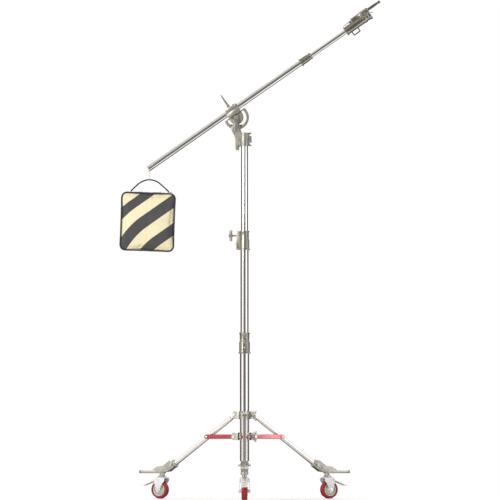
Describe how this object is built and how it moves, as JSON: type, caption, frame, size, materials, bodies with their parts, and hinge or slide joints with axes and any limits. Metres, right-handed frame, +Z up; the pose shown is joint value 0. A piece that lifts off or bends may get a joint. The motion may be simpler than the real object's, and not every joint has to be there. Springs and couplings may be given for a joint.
{
  "type": "wheeled boom stand",
  "caption": "Wheeled folding stand with sliding risers and a tilting telescopic boom that ends in a receiver and pin and is balanced by a hanging sandbag.",
  "frame": {"origin": "on the floor, on the axis of the column", "axes": "+Z up the column, +X the side that the boom's head rises towards, -Y the stand's front, where one leg points"},
  "size_m": [1.4357, 1.011, 2.7443],
  "materials": {
    "chrome_tube": "polished chrome plate on steel tube",
    "cast_nickel": "die-cast alloy with a warm grey nickel finish",
    "zinc_steel": "bright zinc on pressed steel",
    "red_paint": "red powder coat on flat steel bar",
    "red_tyre": "red polyurethane tread",
    "cream_plastic": "cream moulded plastic",
    "hub_metal": "cream-grey painted pressing",
    "bag_fabric": "dark grey and cream sewn canvas",
    "bag_webbing": "dark grey woven webbing",
    "sand": "packed dry sand in sealed pouches"
  },
  "bodies": {
    "column": {"lower_tube": "chrome_tube", "first_lock_collar": "cast_nickel", "brace_collar": "cast_nickel", "brace_hinge_pins": "zinc_steel"},
    "first_knob": {"first_lock_knob": "cast_nickel"},
    "brace_knob": {"brace_collar_knob": "cast_nickel"},
    "spider": {"leg_spider": "cast_nickel", "leg_hinge_pins": "zinc_steel"},
    "wing_knob": {"spider_knob": "cast_nickel"},
    "riser_1": {"middle_tube": "chrome_tube", "second_lock_collar": "cast_nickel"},
    "second_knob": {"second_lock_knob": "cast_nickel"},
    "riser_2": {"upper_tube": "chrome_tube"},
    "head": {"tilt_head_bracket": "cast_nickel", "tilt_head_bolts": "zinc_steel"},
    "head_knob": {"sleeve_lock_knob": "cast_nickel"},
    "tilt_handle": {"tilt_lock_handle": "cast_nickel"},
    "clamp": {"sector_and_clamp_base": "cast_nickel", "clamp_cap": "cast_nickel", "clamp_bolts": "zinc_steel"},
    "cam_lever": {"clamp_lever": "cast_nickel"},
    "boom_outer": {"boom_outer_tube": "chrome_tube", "boom_tail_plug": "cream_plastic", "boom_sleeve_collar": "cast_nickel"},
    "boom_knob": {"boom_lock_knob": "cast_nickel"},
    "boom_inner": {"boom_inner_tube": "chrome_tube", "boom_head_casting": "cast_nickel", "boom_head_pin": "chrome_tube"},
    "latch": {"pin_latch_lever": "zinc_steel"},
    "hook": {"bag_hook": "zinc_steel"},
    "bag": {"sandbag": "bag_fabric", "sand_pouches": "sand", "bag_handle": "bag_webbing"},
    "front_leg": {"front_leg_tube": "chrome_tube", "front_foot_casting": "cast_nickel", "front_foot_hardware": "zinc_steel"},
    "front_brace_link": {"front_brace": "red_paint"},
    "front_swivel": {"front_caster_fork": "zinc_steel", "front_caster_axle": "zinc_steel"},
    "front_wheel": {"front_tyre": "red_tyre", "front_wheel_hub": "hub_metal"},
    "front_pedal": {"front_brake_pedal": "zinc_steel"},
    "right_leg": {"right_leg_tube": "chrome_tube", "right_foot_casting": "cast_nickel", "right_foot_hardware": "zinc_steel"},
    "right_brace_link": {"right_brace": "red_paint"},
    "right_swivel": {"right_caster_fork": "zinc_steel", "right_caster_axle": "zinc_steel"},
    "right_wheel": {"right_tyre": "red_tyre", "right_wheel_hub": "hub_metal"},
    "right_pedal": {"right_brake_pedal": "zinc_steel"},
    "left_leg": {"left_leg_tube": "chrome_tube", "left_foot_casting": "cast_nickel", "left_foot_hardware": "zinc_steel"},
    "left_brace_link": {"left_brace": "red_paint"},
    "left_swivel": {"left_caster_fork": "zinc_steel", "left_caster_axle": "zinc_steel"},
    "left_wheel": {"left_tyre": "red_tyre", "left_wheel_hub": "hub_metal"},
    "left_pedal": {"left_brake_pedal": "zinc_steel"}
  },
  "joints": [
    {"name": "first_knob_turn", "type": "hinge", "parent": "column", "child": "first_knob", "pos_m": [0, -0.05, 0.886], "axis": [0, -1, 0], "range_deg": [-180, 180]},
    {"name": "brace_knob_turn", "type": "hinge", "parent": "column", "child": "brace_knob", "pos_m": [0.0433, -0.025, 0.3455], "axis": [0.866, -0.5, 0], "range_deg": [-180, 180]},
    {"name": "spider_slide", "type": "slide", "parent": "column", "child": "spider", "axis": [0, 0, 1], "range_m": [0, 0.2626]},
    {"name": "spider_knob_turn", "type": "hinge", "parent": "spider", "child": "wing_knob", "pos_m": [0.0433, -0.025, 0.462], "axis": [0.866, -0.5, 0], "range_deg": [-180, 180]},
    {"name": "riser_1_slide", "type": "slide", "parent": "column", "child": "riser_1", "axis": [0, 0, 1], "range_m": [-0.42, 0.16]},
    {"name": "second_knob_turn", "type": "hinge", "parent": "riser_1", "child": "second_knob", "pos_m": [-0.05, 0, 1.449], "axis": [-1, 0, 0], "range_deg": [-180, 180]},
    {"name": "riser_2_slide", "type": "slide", "parent": "riser_1", "child": "riser_2", "axis": [0, 0, 1], "range_m": [-0.42, 0.22]},
    {"name": "head_pan", "type": "hinge", "parent": "riser_2", "child": "head", "pos_m": [0, 0, 1.979], "axis": [0, 0, 1], "continuous": true},
    {"name": "head_knob_turn", "type": "hinge", "parent": "head", "child": "head_knob", "pos_m": [0.03, 0, 1.979], "axis": [1, 0, 0], "range_deg": [-180, 180]},
    {"name": "tilt_handle_turn", "type": "hinge", "parent": "head", "child": "tilt_handle", "pos_m": [-0.0445, 0.03, 2.054], "axis": [0, 1, 0], "range_deg": [-180, 180]},
    {"name": "boom_tilt", "type": "hinge", "parent": "head", "child": "clamp", "pos_m": [-0.0445, 0, 2.1], "axis": [0, -1, 0], "range_deg": [-65, 33]},
    {"name": "clamp_lever_turn", "type": "hinge", "parent": "clamp", "child": "cam_lever", "pos_m": [-0.08875, 0, 2.1618], "axis": [0, 1, 0], "range_deg": [-20, 60]},
    {"name": "boom_slide", "type": "slide", "parent": "clamp", "child": "boom_outer", "axis": [0.8207, 0, 0.5714], "range_m": [-0.4, 0.25]},
    {"name": "boom_knob_turn", "type": "hinge", "parent": "boom_outer", "child": "boom_knob", "pos_m": [0.34942, 0.03, 2.42852], "axis": [0, 1, 0], "range_deg": [-180, 180]},
    {"name": "boom_inner_slide", "type": "slide", "parent": "boom_outer", "child": "boom_inner", "axis": [0.8207, 0, 0.5714], "range_m": [-0.21, 0.65]},
    {"name": "latch_lift", "type": "hinge", "parent": "boom_inner", "child": "latch", "pos_m": [0.57901, 0, 2.62555], "axis": [0, 1, 0], "range_deg": [0, 25]},
    {"name": "hook_swing", "type": "hinge", "parent": "boom_outer", "child": "hook", "pos_m": [-0.52381, 0, 1.79611], "axis": [0, -1, 0], "range_deg": [-33.1, 65.1]},
    {"name": "bag_swing", "type": "hinge", "parent": "hook", "child": "bag", "pos_m": [-0.52381, 0, 1.7507], "axis": [0, 1, 0], "range_deg": [-14, 14]},
    {"name": "front_leg_fold", "type": "hinge", "parent": "spider", "child": "front_leg", "pos_m": [0, -0.057, 0.466], "axis": [1, 0, 0], "range_deg": [0, 45]},
    {"name": "front_brace_fold", "type": "hinge", "parent": "column", "child": "front_brace_link", "pos_m": [0, -0.054, 0.344], "axis": [-1, 0, 0], "range_deg": [0, 77.66]},
    {"name": "front_caster_swivel", "type": "hinge", "parent": "front_leg", "child": "front_swivel", "pos_m": [0, -0.524, 0.114], "axis": [0, 0, 1], "continuous": true},
    {"name": "front_wheel_spin", "type": "hinge", "parent": "front_swivel", "child": "front_wheel", "pos_m": [0, -0.537, 0.05], "axis": [1, 0, 0], "continuous": true},
    {"name": "front_brake_pedal_press", "type": "hinge", "parent": "front_swivel", "child": "front_pedal", "pos_m": [0, -0.553, 0.104], "axis": [1, 0, 0], "range_deg": [0, 8]},
    {"name": "right_leg_fold", "type": "hinge", "parent": "spider", "child": "right_leg", "pos_m": [0.04936, 0.0285, 0.466], "axis": [-0.5, 0.866, 0], "range_deg": [0, 45]},
    {"name": "right_brace_fold", "type": "hinge", "parent": "column", "child": "right_brace_link", "pos_m": [0.04677, 0.027, 0.344], "axis": [0.5, -0.866, 0], "range_deg": [0, 77.66]},
    {"name": "right_caster_swivel", "type": "hinge", "parent": "right_leg", "child": "right_swivel", "pos_m": [0.4538, 0.262, 0.114], "axis": [0, 0, 1], "continuous": true},
    {"name": "right_wheel_spin", "type": "hinge", "parent": "right_swivel", "child": "right_wheel", "pos_m": [0.46506, 0.2685, 0.05], "axis": [-0.5, 0.866, 0], "continuous": true},
    {"name": "right_brake_pedal_press", "type": "hinge", "parent": "right_swivel", "child": "right_pedal", "pos_m": [0.47891, 0.2765, 0.104], "axis": [-0.5, 0.866, 0], "range_deg": [0, 8]},
    {"name": "left_leg_fold", "type": "hinge", "parent": "spider", "child": "left_leg", "pos_m": [-0.04936, 0.0285, 0.466], "axis": [-0.5, -0.866, 0], "range_deg": [0, 45]},
    {"name": "left_brace_fold", "type": "hinge", "parent": "column", "child": "left_brace_link", "pos_m": [-0.04677, 0.027, 0.344], "axis": [0.5, 0.866, 0], "range_deg": [0, 77.66]},
    {"name": "left_caster_swivel", "type": "hinge", "parent": "left_leg", "child": "left_swivel", "pos_m": [-0.4538, 0.262, 0.114], "axis": [0, 0, 1], "continuous": true},
    {"name": "left_wheel_spin", "type": "hinge", "parent": "left_swivel", "child": "left_wheel", "pos_m": [-0.46506, 0.2685, 0.05], "axis": [-0.5, -0.866, 0], "continuous": true},
    {"name": "left_brake_pedal_press", "type": "hinge", "parent": "left_swivel", "child": "left_pedal", "pos_m": [-0.47891, 0.2765, 0.104], "axis": [-0.5, -0.866, 0], "range_deg": [0, 8]}
  ],
  "couplings": [
    {"joint": "hook_swing", "follows": "boom_tilt", "ratio": -1},
    {"joint": "front_leg_fold", "follows": "spider_slide", "rad_per_m": 2.9907},
    {"joint": "front_brace_fold", "follows": "spider_slide", "rad_per_m": 5.1614},
    {"joint": "right_leg_fold", "follows": "spider_slide", "rad_per_m": 2.9907},
    {"joint": "right_brace_fold", "follows": "spider_slide", "rad_per_m": 5.1614},
    {"joint": "left_leg_fold", "follows": "spider_slide", "rad_per_m": 2.9907},
    {"joint": "left_brace_fold", "follows": "spider_slide", "rad_per_m": 5.1614}
  ]
}
